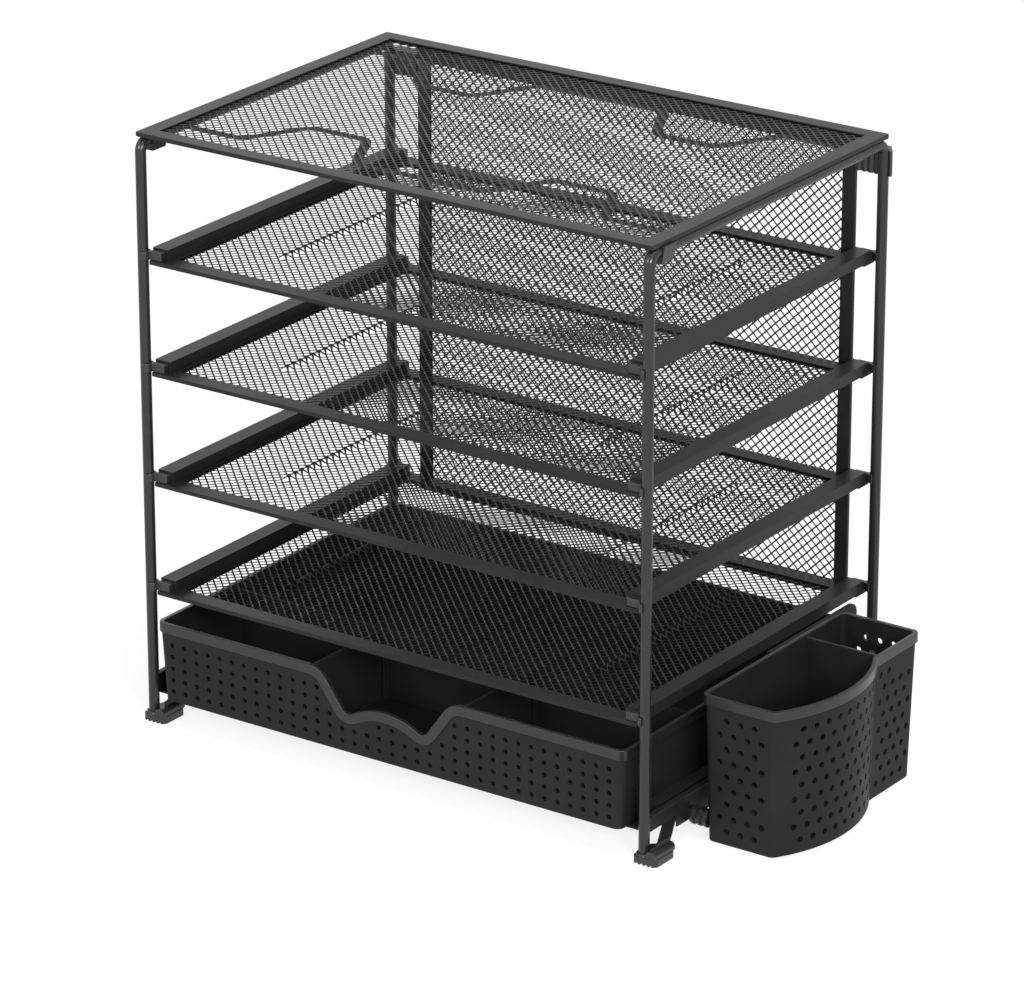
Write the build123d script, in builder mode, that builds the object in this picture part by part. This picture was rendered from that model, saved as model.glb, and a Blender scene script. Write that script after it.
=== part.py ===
from build123d import *
import os

# Desk file organizer: two bent wire side frames carry a mesh top, a mesh back and four mesh trays.
# A drawer slides between the wires on two low runners, and a pen holder hangs on the right runner.
# Millimetres, +Z up, front towards -Y. The origin is the middle of the whole box, on the desk.

os.makedirs("parts", exist_ok=True)

# Overall sizes
frame_width = 327.66
frame_height = 336.55
overall_depth = 238.76
drawer_proud = 5.7
clip_proud = 8.06
panel_depth = overall_depth - drawer_proud - clip_proud

# Clearances and cuts
seat_gap = 0.1
slide_gap = 0.3
overrun = 5.0

# Wire side frames; round pieces as thin as the wire are drawn with flat sides, and so are their sockets
wire_radius = 3.0
round_sides = 12
wire_bend = 5.5
post_inset_x = 2.7
post_inset_y = 1.3
post_x = frame_width / 2 - post_inset_x
post_y = panel_depth / 2 - post_inset_y

# Expanded-metal mesh, drawn as a coarse net of diamonds
mesh_thickness = 1.0
mesh_hold = 2.0
groove_height = mesh_thickness + seat_gap
net_pitch_across = 58.0
net_pitch_along = 51.0
net_strand = 4.4

# Top panel
rim_width = 9.5
rim_cover = 0.7
rim_hem = 0.6
rim_corner = 1.5
rim_height = rim_cover + groove_height + rim_hem
rim_bottom = frame_height - rim_height
wire_top = rim_bottom - wire_radius
bead_width = 5.0
bead_depth = 1.2
bead_edge = 29.0
bead_rise = 36.0
bead_centre_share = 0.2527
bead_foot_share = 0.1264
bead_top_share = 0.0616
bead_bend = 13.0
bead_end_gap = 4.0

# Trays
tray_count = 4
lowest_tray_top = 83.0
top_space = 64.25
tray_pitch = (frame_height - top_space - lowest_tray_top) / (tray_count - 1)
tray_setback = 0.5
rail_width = 10.0
rail_sheet = 1.2
rail_lip = 6.6
rail_drop = 6.0
rail_post_gap = 0.6
rail_end_gap = 1.0
strip_width = 10.0
strip_sheet = 0.6
strip_end_gap = 1.1
tray_ledge = 2.5
tray_strip_height = groove_height + 2 * strip_sheet
rail_outer_x = post_x - wire_radius - rail_post_gap
rail_inner_x = rail_outer_x - rail_width
rail_half_length = post_y - wire_radius - rail_end_gap
tray_half_depth = panel_depth / 2 - tray_setback
tray_window_x = rail_inner_x - tray_ledge
tray_window_y = tray_half_depth - strip_width
rib_inset = 43.0
rib_place = tray_window_x - rib_inset
rib_length = 138.0
rib_width = 4.0
rib_rise = 1.4
clip_ring = 1.3
corner_tongue_length = 15.0
corner_tongue_width = rail_width - 2 * rail_sheet - seat_gap

# Back panel
back_post_gap = 18.1
back_bar = 8.0
back_sheet = 0.7
back_drop = 15.0
back_top_gap = 3.0
back_gap = 0.5
back_half_width = post_x - back_post_gap
back_front = tray_half_depth + back_gap
back_thickness = groove_height + 2 * back_sheet
back_rear = back_front + back_thickness
back_bottom = lowest_tray_top - back_drop
back_top = rim_bottom - back_top_gap
back_height = back_top - back_bottom
back_middle_z = (back_top + back_bottom) / 2

# Plastic clips that hold the back panel to the rear posts
back_clip_height = 14.0
back_clip_drop = 4.0
back_clip_lap = 4.0
back_clip_wrap = 1.3
back_clip_corner = 1.5
back_clip_slope_x = 5.2
back_clip_slope_y = 7.3
flute_depth = 1.2
flute_sides = 4
flute_count = 3
clip_rear = panel_depth / 2 + clip_proud

# Small clips that hold the top panel to the wire
top_clip_length = 11.0
top_clip_setback = 1.5
top_clip_wall = 1.2
top_clip_drop = 9.5
top_clip_taper = 1.6

# Feet: all of one hand, each reaching further to the right of its post
foot_width = 15.0
foot_outset = 2.5
foot_length = 19.5
foot_lead = 4.5
foot_corner = 3.5
foot_base = 4.0
foot_floor = 2.0
foot_boss_wall = 1.4
foot_boss_top = 5.6
foot_boss_slope = 12.0
foot_saddle_width = 6.2
foot_saddle_inset = 0.4
foot_saddle_top = 8.2
foot_saddle_round = 2.4
foot_slot_floor = 5.0
foot_tooth_pitch = 2.8
foot_tooth_width = 1.4
foot_tooth_depth = 0.8
foot_tooth_count = 4
foot_front_y = post_y + foot_lead
foot_rear_y = foot_front_y - foot_length
foot_middle_y = (foot_front_y + foot_rear_y) / 2
foot_reach_x = post_x + foot_width / 2 - foot_outset
saddle_offset = foot_outset + (foot_width - foot_saddle_width) / 2 - foot_saddle_inset

# Drawer
drawer_bottom = 16.4
drawer_height = 45.6
drawer_side_gap = 5.8
drawer_draft = 2.8
drawer_front_draft = 0.8
drawer_rear_gap = 12.0
drawer_wall = 1.8
drawer_floor = 2.2
drawer_corner = 4.5
drawer_band = 5.6
drawer_band_proud = 0.7
drawer_top = drawer_bottom + drawer_height
drawer_half_width = post_x - wire_radius - drawer_side_gap
drawer_front_y = -panel_depth / 2 - drawer_proud + drawer_band_proud
drawer_rear_y = tray_half_depth - drawer_rear_gap
wave_shoulder_x = 42.7
wave_valley_x = 25.2
wave_valley_drop = 24.5
wave_hump_drop = 16.4
wave_shoulder_round = 14.0
wave_valley_round = 5.0
guide_rib_bottom = 1.6
guide_rib_height = 6.0
guide_rib_setback = 8.0
guide_rib_side_gap = 0.8
guide_rib_half_length = drawer_rear_y - guide_rib_setback

# Drawer dividers
divider_thickness = 1.6
cross_wall_drop = 2.6
front_divider_drop = 1.0
front_cell_depth = 67.5
cross_wall_y = drawer_front_y + front_cell_depth
divider_x = 49.5
slot_cheek = 1.5
slot_reach = 3.0
slot_height = 26.0
slot_point = 3.0

# Runners
runner_sheet = 1.2
runner_height = 10.8
runner_ledge = 2.4
runner_shelf_reach = 22.0
runner_skirt = 6.5
runner_tab_width = 13.0
runner_tab_lean = 16.0
runner_tab_gap = 0.8
runner_tab_low_y = foot_rear_y + runner_tab_gap + runner_tab_width / 2
runner_skirt_end = runner_tab_low_y - runner_tab_lean - runner_tab_width / 2
runner_shelf_top = drawer_bottom - slide_gap
runner_bottom = runner_shelf_top - runner_sheet
runner_top = runner_bottom + runner_height
runner_half_length = post_y - wire_radius - seat_gap
web_inner_x = post_x - runner_sheet / 2
web_outer_x = post_x + runner_sheet / 2

# Pen holder, in plan: flat front, bulging outer wall, a notch, then a narrower rear part
holder_gap = 10.8
holder_front_y = -75.0
holder_length = 136.0
holder_bottom = 1.5
holder_height = 83.0
holder_front_width = 43.5
holder_bulge = 16.0
holder_notch_depth = 11.5
holder_bulge_radius = 86.0
holder_wall = 1.8
holder_floor = 2.2
holder_draft = 2.0
holder_corner = 4.5
holder_notch_round = 3.0
holder_band = 5.5
holder_band_proud = 0.8
holder_divider = 1.6
holder_divider_drop = 1.5
holder_inner_x = web_outer_x + holder_gap
holder_corner_x = holder_inner_x + holder_front_width
holder_bulge_x = holder_corner_x + holder_bulge
holder_notch_x = holder_bulge_x - holder_notch_depth
holder_outer_x = holder_bulge_x + holder_band_proud
holder_rear_y = holder_front_y + holder_length
holder_bulge_y = holder_front_y + (holder_bulge * (2 * holder_bulge_radius - holder_bulge)) ** 0.5
holder_notch_y = holder_bulge_y + (holder_notch_depth * (2 * holder_bulge_radius - holder_notch_depth)) ** 0.5
holder_top = holder_bottom + holder_height

# Hanger strip and hooks of the pen holder
hanger_gap = 0.9
hanger_thickness = 2.4
hanger_drop = 3.5
hanger_height = 14.0
hanger_lap = 63.0
hanger_overhang = 24.0
hanger_round = 6.0
hanger_hole_radius = 1.8
hanger_hole_count = 4
hanger_hole_pitch = 13.2
hanger_hole_setback = 7.0
hanger_hole_drop = 3.5
hanger_web = 2.0
hanger_inner_x = post_x + wire_radius + hanger_gap
hanger_top = holder_top - hanger_drop
hanger_bottom = hanger_top - hanger_height
hanger_front_y = holder_rear_y - hanger_lap
hanger_rear_y = holder_rear_y + hanger_overhang
hook_width = 12.0
hook_front_inset = 35.0
hook_rear_inset = 26.0
hook_thickness = 2.6
hook_leg = 2.1
hook_drop = 6.0
hook_places = (holder_front_y + hook_front_inset, holder_rear_y - hook_rear_inset)

# Standoffs between the right runner and the pen holder
standoff_front_inset = 7.0
standoff_rear_inset = 13.0
standoff_radius = 4.0
standoff_rib_radius = 5.2
standoff_rib_count = 3
standoff_places = (holder_front_y + standoff_front_inset, holder_rear_y - standoff_rear_inset)

# Middle of the steel frame, measured from the middle of the whole box
frame_x = (foot_reach_x - holder_outer_x) / 2
frame_y = (drawer_proud - clip_proud) / 2


def level(height):
    """Plane that lies flat at a height, centred on the steel frame."""
    return Plane(origin=(frame_x, frame_y, height))


def side_plane(place):
    """Upright plane across X, drawn in Y and Z; it faces +X."""
    return Plane(origin=(frame_x + place, frame_y, 0), x_dir=(0, 1, 0), z_dir=(1, 0, 0))


def front_plane(place, height=0):
    """Upright plane across Y, drawn in X and Z from a height; it faces the front."""
    return Plane(origin=(frame_x, frame_y + place, height), x_dir=(1, 0, 0), z_dir=(0, -1, 0))


middle_side = Plane(origin=(frame_x, frame_y, 0), z_dir=(1, 0, 0))
middle_front = Plane(origin=(frame_x, frame_y, 0), z_dir=(0, 1, 0))
sides = (("left", -1), ("right", 1))


def save(piece, name):
    """Names a finished piece and writes it out."""
    piece.part.label = name
    export_step(piece.part, f"parts/{name}.step")


def draw_net(width, depth, window_width, window_depth):
    """Sheet with a staggered net of diamond gaps inside a window."""
    half_across = (net_pitch_across - net_strand) / 2
    half_along = (net_pitch_along - net_strand) / 2
    columns = 2 * int(window_width / net_pitch_across / 2 + 1) + 1
    rows = 2 * int(window_depth / net_pitch_along / 2 + 1) + 1
    diamond = ((half_across, 0), (0, half_along), (-half_across, 0), (0, -half_along))
    Rectangle(width, depth)
    with BuildSketch(mode=Mode.PRIVATE) as gaps:
        with GridLocations(net_pitch_across, net_pitch_along, columns, rows):
            Polygon(*diamond)
        with GridLocations(net_pitch_across, net_pitch_along, columns - 1, rows - 1):
            Polygon(*diamond)
        Rectangle(window_width, window_depth, mode=Mode.INTERSECT)
    add(gaps.sketch, mode=Mode.SUBTRACT)


# Side frames: posts and top wire in one bend
for side_name, side in sides:
    with BuildPart() as side_frame:
        with BuildLine(side_plane(side * post_x)):
            FilletPolyline(
                (-post_y, foot_floor), (-post_y, wire_top), (post_y, wire_top), (post_y, foot_floor),
                radius=wire_bend,
            )
        with BuildSketch(level(foot_floor)):
            with Locations((side * post_x, -post_y)):
                RegularPolygon(wire_radius, round_sides)
        sweep()
    save(side_frame, f"{side_name}_side_frame")

# Top panel: a folded rim with the mesh edge inside its hem
top_window_x = frame_width - 2 * rim_width
top_window_y = panel_depth - 2 * rim_width
with BuildPart() as top_rim:
    with BuildSketch(level(rim_bottom)):
        RectangleRounded(frame_width, panel_depth, rim_corner)
        Rectangle(top_window_x, top_window_y, mode=Mode.SUBTRACT)
    extrude(amount=rim_height)
    with BuildSketch(level(rim_bottom + rim_hem)):
        Rectangle(top_window_x + 2 * (mesh_hold + seat_gap), top_window_y + 2 * (mesh_hold + seat_gap))
    extrude(amount=groove_height, mode=Mode.SUBTRACT)
save(top_rim, "top_rim")

with BuildPart() as top_mesh:
    with BuildSketch(level(rim_bottom + rim_hem)):
        draw_net(top_window_x + 2 * mesh_hold, top_window_y + 2 * mesh_hold, top_window_x, top_window_y)
    extrude(amount=mesh_thickness)
    bead_end = top_window_x / 2 - bead_end_gap
    bead_centre = bead_centre_share * top_window_x
    bead_foot_half = bead_foot_share * top_window_x
    bead_top_half = bead_top_share * top_window_x
    bead_base = bead_edge - panel_depth / 2
    bead_crest = bead_base + bead_rise
    with BuildSketch(level(rim_bottom + rim_hem)):
        with BuildLine():
            FilletPolyline(
                (-bead_end, bead_base),
                (-bead_centre - bead_foot_half, bead_base),
                (-bead_centre - bead_top_half, bead_crest),
                (-bead_centre + bead_top_half, bead_crest),
                (-bead_centre + bead_foot_half, bead_base),
                (bead_centre - bead_foot_half, bead_base),
                (bead_centre - bead_top_half, bead_crest),
                (bead_centre + bead_top_half, bead_crest),
                (bead_centre + bead_foot_half, bead_base),
                (bead_end, bead_base),
                radius=bead_bend,
            )
        trace(line_width=bead_width)
        mirror(about=Plane.XZ)
    extrude(amount=-bead_depth)
save(top_mesh, "top_mesh")


# Trays
def draw_rail(top):
    """Section of a tray's right rail: inner wall, flat top and outer lip."""
    with BuildLine() as section:
        Polyline(
            (rail_inner_x, top - rail_drop),
            (rail_inner_x, top),
            (rail_outer_x, top),
            (rail_outer_x, top - rail_lip),
            (rail_outer_x - rail_sheet, top - rail_lip),
            (rail_outer_x - rail_sheet, top - rail_sheet),
            (rail_inner_x + rail_sheet, top - rail_sheet),
            (rail_inner_x + rail_sheet, top - rail_drop),
            close=True,
        )
    make_face(section.edges())


for number in range(1, tray_count + 1):
    rail_top = lowest_tray_top + (tray_count - number) * tray_pitch
    strip_top_z = rail_top - rail_drop
    strip_low_z = strip_top_z - tray_strip_height
    mesh_z = strip_low_z + strip_sheet

    with BuildPart() as tray_rim:
        with BuildSketch(level(strip_low_z)):
            Rectangle(2 * (rail_outer_x - strip_end_gap), 2 * tray_half_depth)
            Rectangle(2 * (rail_outer_x + overrun), 2 * tray_window_y, mode=Mode.SUBTRACT)
            Rectangle(2 * (rail_inner_x + rail_sheet), 2 * tray_half_depth)
            Rectangle(2 * tray_window_x, 2 * tray_window_y, mode=Mode.SUBTRACT)
        extrude(amount=tray_strip_height)
        with BuildSketch(front_plane(rail_half_length)):
            draw_rail(rail_top)
            mirror(about=Plane.YZ)
        extrude(amount=2 * rail_half_length)
        with BuildSketch(level(mesh_z)):
            Rectangle(2 * (tray_window_x + mesh_hold + seat_gap), 2 * (tray_window_y + mesh_hold + seat_gap))
        extrude(amount=groove_height, mode=Mode.SUBTRACT)
    save(tray_rim, f"tray_{number}_rim")

    with BuildPart() as tray_mesh:
        with BuildSketch(level(mesh_z)):
            draw_net(
                2 * (tray_window_x + mesh_hold), 2 * (tray_window_y + mesh_hold),
                2 * tray_window_x, 2 * tray_window_y,
            )
        extrude(amount=mesh_thickness)
        with BuildSketch(level(mesh_z + mesh_thickness)):
            with GridLocations(2 * rib_place, 0, 2, 1):
                Rectangle(rib_width, rib_length)
        extrude(amount=rib_rise)
    save(tray_mesh, f"tray_{number}_mesh")

    with BuildPart() as corner_clips:
        with BuildSketch(level(strip_top_z)):
            with Locations((post_x, post_y)):
                RegularPolygon(wire_radius + seat_gap + clip_ring, round_sides)
            with Locations((rail_outer_x - rail_sheet, post_y)):
                Rectangle(corner_tongue_width, corner_tongue_length, align=(Align.MAX, Align.MAX))
                Rectangle(post_x - rail_outer_x + rail_sheet, wire_radius, align=(Align.MIN, Align.MAX))
            with Locations((post_x, post_y)):
                RegularPolygon(wire_radius + seat_gap, round_sides, mode=Mode.SUBTRACT)
                Rectangle(overrun + wire_radius, 2 * (overrun + wire_radius), align=(Align.MIN, Align.CENTER),
                          mode=Mode.SUBTRACT)
        extrude(amount=rail_drop - rail_sheet)
        mirror(about=middle_side)
        mirror(about=middle_front)
    save(corner_clips, f"tray_{number}_corner_clips")

# Back panel: a bar frame with the mesh in its hem
back_window_x = 2 * (back_half_width - back_bar)
back_window_z = back_height - 2 * back_bar
with BuildPart() as back_rim:
    with BuildSketch(front_plane(back_rear, back_middle_z)):
        Rectangle(2 * back_half_width, back_height)
        Rectangle(back_window_x, back_window_z, mode=Mode.SUBTRACT)
    extrude(amount=back_thickness)
    with BuildSketch(front_plane(back_rear - back_sheet, back_middle_z)):
        Rectangle(back_window_x + 2 * (mesh_hold + seat_gap), back_window_z + 2 * (mesh_hold + seat_gap))
    extrude(amount=groove_height, mode=Mode.SUBTRACT)
save(back_rim, "back_rim")

with BuildPart() as back_mesh:
    with BuildSketch(front_plane(back_rear - back_sheet, back_middle_z)):
        draw_net(back_window_x + 2 * mesh_hold, back_window_z + 2 * mesh_hold, back_window_x, back_window_z)
    extrude(amount=mesh_thickness)
save(back_mesh, "back_mesh")

# Ribbed clips between the back panel and the rear posts
back_clip_low = back_top - back_clip_drop - back_clip_height
plate_inner_x = back_half_width - back_clip_lap
plate_outer_x = post_x + wire_radius + back_clip_wrap
plate_depth = clip_rear - back_rear
spacer_inner_x = back_half_width + seat_gap
spacer_depth = clip_rear - post_y
flute_pitch = (post_x - wire_radius - spacer_inner_x) / (flute_count + 1)
for side_name, side in sides:
    with BuildPart() as back_clip:
        with BuildSketch(level(back_clip_low)) as clip_plan:
            with Locations((plate_inner_x, back_rear)):
                Rectangle(plate_outer_x - plate_inner_x, plate_depth, align=(Align.MIN, Align.MIN))
            with Locations((spacer_inner_x, clip_rear)):
                Rectangle(plate_outer_x - spacer_inner_x, spacer_depth, align=(Align.MIN, Align.MAX))
            fillet(clip_plan.vertices().group_by(Axis.Y)[-1], radius=back_clip_corner)
            with Locations((plate_outer_x, clip_rear)):
                Polygon((0, 0), (-back_clip_slope_x, 0), (0, -back_clip_slope_y), align=None, mode=Mode.SUBTRACT)
            with Locations((post_x, post_y)):
                RegularPolygon(wire_radius + seat_gap, round_sides, mode=Mode.SUBTRACT)
            for flute in range(1, flute_count + 1):
                with Locations((spacer_inner_x + flute * flute_pitch, post_y)):
                    RegularPolygon(flute_depth, flute_sides, mode=Mode.SUBTRACT)
        extrude(amount=back_clip_height)
        if side < 0:
            mirror(about=middle_side, mode=Mode.REPLACE)
    save(back_clip, f"back_clip_{side_name}")

# Small clips under the front of the top panel, threaded on the wire
for side_name, side in sides:
    with BuildPart() as top_clip:
        clip_rear_y = -post_y + wire_bend + top_clip_setback + top_clip_length
        half_top = wire_radius + seat_gap + top_clip_wall
        half_low = half_top - top_clip_taper
        with BuildSketch(front_plane(clip_rear_y)):
            with Locations((side * post_x, rim_bottom)):
                Polygon(
                    (-half_top, 0), (half_top, 0), (half_low, -top_clip_drop), (-half_low, -top_clip_drop),
                    align=None,
                )
            with Locations((side * post_x, wire_top)):
                RegularPolygon(wire_radius + seat_gap, round_sides, mode=Mode.SUBTRACT)
        extrude(amount=top_clip_length)
    save(top_clip, f"top_clip_{side_name}")

# Feet: a socket for the post, and beside it a saddle with a slot for the runner's end tab
tab_slot = runner_sheet + 2 * seat_gap
for end_name, end in (("front", -1), ("rear", 1)):
    for side_name, side in sides:
        foot_x = side * post_x + foot_outset
        saddle_x = side * post_x + saddle_offset
        with BuildPart() as foot:
            with BuildSketch(level(0)):
                with Locations((foot_x, end * foot_middle_y)):
                    RectangleRounded(foot_width, foot_length, foot_corner)
            extrude(amount=foot_base)
            with BuildSketch(level(foot_base)):
                with Locations((side * post_x, end * post_y)):
                    RegularPolygon(wire_radius + foot_boss_wall, round_sides)
            extrude(amount=foot_boss_top - foot_base, taper=foot_boss_slope)
            with BuildSketch(front_plane(end * foot_middle_y + foot_length / 2 - foot_saddle_inset)) as arch:
                with Locations((saddle_x, foot_base)):
                    Rectangle(foot_saddle_width, foot_saddle_top - foot_base, align=(Align.CENTER, Align.MIN))
                fillet(arch.vertices().group_by(Axis.Y)[-1], foot_saddle_round)
            extrude(amount=foot_length - 2 * foot_saddle_inset)
            with BuildSketch(level(foot_floor)):
                with Locations((side * post_x, end * post_y)):
                    RegularPolygon(wire_radius + seat_gap, round_sides)
            extrude(amount=foot_boss_top, mode=Mode.SUBTRACT)
            with BuildSketch(level(foot_slot_floor)):
                with Locations((saddle_x, end * runner_tab_low_y)):
                    Rectangle(tab_slot, runner_tab_width + 2 * seat_gap)
            extrude(amount=foot_saddle_top, mode=Mode.SUBTRACT)
            with BuildSketch(level(0)):
                with Locations((foot_x, end * foot_middle_y)):
                    with GridLocations(foot_tooth_pitch, 0, foot_tooth_count, 1):
                        Rectangle(foot_tooth_width, foot_length + overrun)
            extrude(amount=foot_tooth_depth, mode=Mode.SUBTRACT)
        save(foot, f"{end_name}_{side_name}_foot")

# Runners: a web between the posts, a shelf under the drawer, a skirt, and a slanted tab at each end
for side_name, side in sides:
    with BuildPart() as runner:
        with BuildSketch(front_plane(runner_half_length)):
            with BuildLine():
                Polyline(
                    (side * (web_outer_x - runner_shelf_reach), runner_bottom),
                    (side * web_outer_x, runner_bottom),
                    (side * web_outer_x, runner_top - runner_sheet),
                    (side * (web_outer_x + runner_ledge), runner_top - runner_sheet),
                    (side * (web_outer_x + runner_ledge), runner_top),
                    (side * web_inner_x, runner_top),
                    (side * web_inner_x, runner_shelf_top),
                    (side * (web_outer_x - runner_shelf_reach), runner_shelf_top),
                    close=True,
                )
            make_face()
        extrude(amount=2 * runner_half_length)
        with BuildSketch(side_plane(side * post_x - runner_sheet / 2)):
            with Locations((0, runner_bottom)):
                Rectangle(2 * runner_skirt_end, runner_skirt, align=(Align.CENTER, Align.MAX))
        extrude(amount=runner_sheet)
        for end in (-1, 1):
            with BuildSketch(level(runner_bottom)) as tab_top:
                with Locations((side * post_x, end * (runner_tab_low_y - runner_tab_lean))):
                    Rectangle(runner_sheet, runner_tab_width)
            with BuildSketch(level(foot_saddle_top)) as tab_bend:
                with Locations((side * post_x + saddle_offset, end * runner_tab_low_y)):
                    Rectangle(runner_sheet, runner_tab_width)
            loft(sections=[tab_top.sketch, tab_bend.sketch], ruled=True)
            with BuildSketch(level(foot_slot_floor)):
                with Locations((side * post_x + saddle_offset, end * runner_tab_low_y)):
                    Rectangle(runner_sheet, runner_tab_width)
            extrude(amount=foot_saddle_top - foot_slot_floor)
    save(runner, f"{side_name}_runner")


# Drawer
def draw_drawer_plan(inset, height_share):
    """Drawer outline in plan, at a share of its height, inset from the outside."""
    front_y = drawer_front_y + drawer_front_draft * (1 - height_share) + inset
    rear_y = drawer_rear_y - inset
    half_width = drawer_half_width - drawer_draft * (1 - height_share) - inset
    with Locations((0, (front_y + rear_y) / 2)):
        RectangleRounded(2 * half_width, rear_y - front_y, max(drawer_corner - inset, drawer_wall))


def draw_drawer_front(sketch, spread):
    """Front wall seen from the front: straight sides and a top edge that dips in a wave."""
    half_width = drawer_half_width + spread
    valley_z = drawer_top - wave_valley_drop
    with BuildLine() as outline:
        Polyline(
            (-wave_valley_x, valley_z),
            (-wave_shoulder_x, drawer_top),
            (-half_width, drawer_top),
            (-half_width, drawer_bottom - spread),
            (half_width, drawer_bottom - spread),
            (half_width, drawer_top),
            (wave_shoulder_x, drawer_top),
            (wave_valley_x, valley_z),
        )
        ThreePointArc((wave_valley_x, valley_z), (0, drawer_top - wave_hump_drop), (-wave_valley_x, valley_z))
    make_face(outline.edges())
    for side in (-1, 1):
        shoulder = (side * wave_shoulder_x, drawer_top)
        valley = (side * wave_valley_x, valley_z)
        fillet(sketch.vertices().sort_by_distance(shoulder)[:1], wave_shoulder_round)
        fillet(sketch.vertices().sort_by_distance(valley)[:1], wave_valley_round)


def drawer_share(height):
    """Share of the drawer's height that lies below a level."""
    return (height - drawer_bottom) / drawer_height


def drawer_inner_half(height):
    """Half the clear width between the drawer's side walls at a level."""
    return drawer_half_width - drawer_draft * (1 - drawer_share(height)) - drawer_wall


def drawer_inner_front(height):
    """Inner face of the drawer's front wall at a level."""
    return drawer_front_y + drawer_front_draft * (1 - drawer_share(height)) + drawer_wall


drawer_floor_z = drawer_bottom + drawer_floor
slot_top = drawer_floor_z + slot_height
slot_half_width = divider_thickness / 2 + seat_gap
wave_half = drawer_half_width - drawer_corner - drawer_band
with BuildPart() as drawer_box:
    with BuildSketch(level(drawer_bottom)):
        draw_drawer_plan(0, 0)
    with BuildSketch(level(drawer_top)):
        draw_drawer_plan(0, 1)
    loft(ruled=True)
    with BuildSketch(level(drawer_top - drawer_band)):
        draw_drawer_plan(-drawer_band_proud, 1)
    extrude(amount=drawer_band)
    with BuildSketch(level(drawer_floor_z)):
        draw_drawer_plan(drawer_wall, drawer_share(drawer_floor_z))
    with BuildSketch(level(drawer_top)):
        draw_drawer_plan(drawer_wall, 1)
    loft(ruled=True, mode=Mode.SUBTRACT)
    with BuildSketch(front_plane(drawer_front_y + drawer_wall + overrun)):
        with Locations((0, drawer_top)):
            Rectangle(2 * wave_half, 2 * wave_valley_drop)
        with BuildSketch(mode=Mode.PRIVATE) as kept_front:
            draw_drawer_front(kept_front, 0)
        add(kept_front.sketch, mode=Mode.SUBTRACT)
    extrude(amount=2 * overrun + drawer_wall, mode=Mode.SUBTRACT)
    with BuildSketch(front_plane(drawer_front_y + drawer_wall / 2)):
        with BuildSketch(mode=Mode.PRIVATE) as inside_band:
            draw_drawer_front(inside_band, drawer_half_width)
            offset(amount=-drawer_band)
        add(kept_front.sketch)
        add(inside_band.sketch, mode=Mode.SUBTRACT)
        with Locations((0, drawer_top)):
            Rectangle(2 * wave_half, 2 * drawer_top, mode=Mode.INTERSECT)
    extrude(amount=drawer_wall / 2 + drawer_band_proud)
    with BuildSketch(front_plane(guide_rib_half_length)):
        rib_outer_x = post_x - wire_radius - guide_rib_side_gap
        rib_inner_x = drawer_half_width - drawer_draft - drawer_wall / 2
        with Locations((0, drawer_bottom + guide_rib_bottom)):
            with GridLocations(rib_outer_x + rib_inner_x, 0, 2, 1):
                Rectangle(rib_outer_x - rib_inner_x, guide_rib_height, align=(Align.CENTER, Align.MIN))
    extrude(amount=2 * guide_rib_half_length)
    for cheek_y in (slot_half_width + slot_cheek, -slot_half_width):
        with BuildSketch(front_plane(cross_wall_y + cheek_y)):
            Polygon(
                (drawer_inner_half(drawer_floor_z) - slot_reach, drawer_floor_z - drawer_floor / 2),
                (drawer_inner_half(drawer_floor_z) + drawer_wall / 2, drawer_floor_z - drawer_floor / 2),
                (drawer_inner_half(slot_top + slot_point) + drawer_wall / 2, slot_top + slot_point),
                (drawer_inner_half(slot_top) - slot_reach, slot_top),
                align=None,
            )
            mirror(about=Plane.YZ)
        extrude(amount=slot_cheek)
save(drawer_box, "drawer_box")

# Drawer dividers: a cross wall plugged between the cheeks, and two short walls in front of it
cross_top = drawer_top - cross_wall_drop
cross_front_y = cross_wall_y - divider_thickness / 2
with BuildPart() as cross_divider:
    with BuildSketch(front_plane(cross_wall_y + divider_thickness / 2)):
        Polygon(
            (seat_gap - drawer_inner_half(drawer_floor_z), drawer_floor_z),
            (drawer_inner_half(drawer_floor_z) - seat_gap, drawer_floor_z),
            (drawer_inner_half(cross_top) - seat_gap, cross_top),
            (seat_gap - drawer_inner_half(cross_top), cross_top),
            align=None,
        )
    extrude(amount=divider_thickness)
    for cheek_x in (-slot_half_width - slot_cheek, slot_half_width):
        for side in (-1, 1):
            with BuildSketch(side_plane(side * divider_x + cheek_x)):
                Polygon(
                    (cross_wall_y, drawer_floor_z),
                    (cross_wall_y, slot_top + slot_point),
                    (cross_front_y - slot_reach, slot_top),
                    (cross_front_y - slot_reach, drawer_floor_z),
                    align=None,
                )
            extrude(amount=slot_cheek)
save(cross_divider, "drawer_cross_divider")

front_divider_top = drawer_top - front_divider_drop
for side_name, side in sides:
    with BuildPart() as front_divider:
        with BuildSketch(side_plane(side * divider_x - divider_thickness / 2)):
            Polygon(
                (drawer_inner_front(drawer_floor_z) + seat_gap, drawer_floor_z),
                (cross_front_y - seat_gap, drawer_floor_z),
                (cross_front_y - seat_gap, cross_top),
                (drawer_inner_front(front_divider_top) + seat_gap, front_divider_top),
                align=None,
            )
        extrude(amount=divider_thickness)
    save(front_divider, f"drawer_{side_name}_divider")


# Pen holder
def holder_inset(height):
    """How far the tapered wall stands in from the rim at a height."""
    return holder_draft * (holder_top - height) / holder_height


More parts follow.
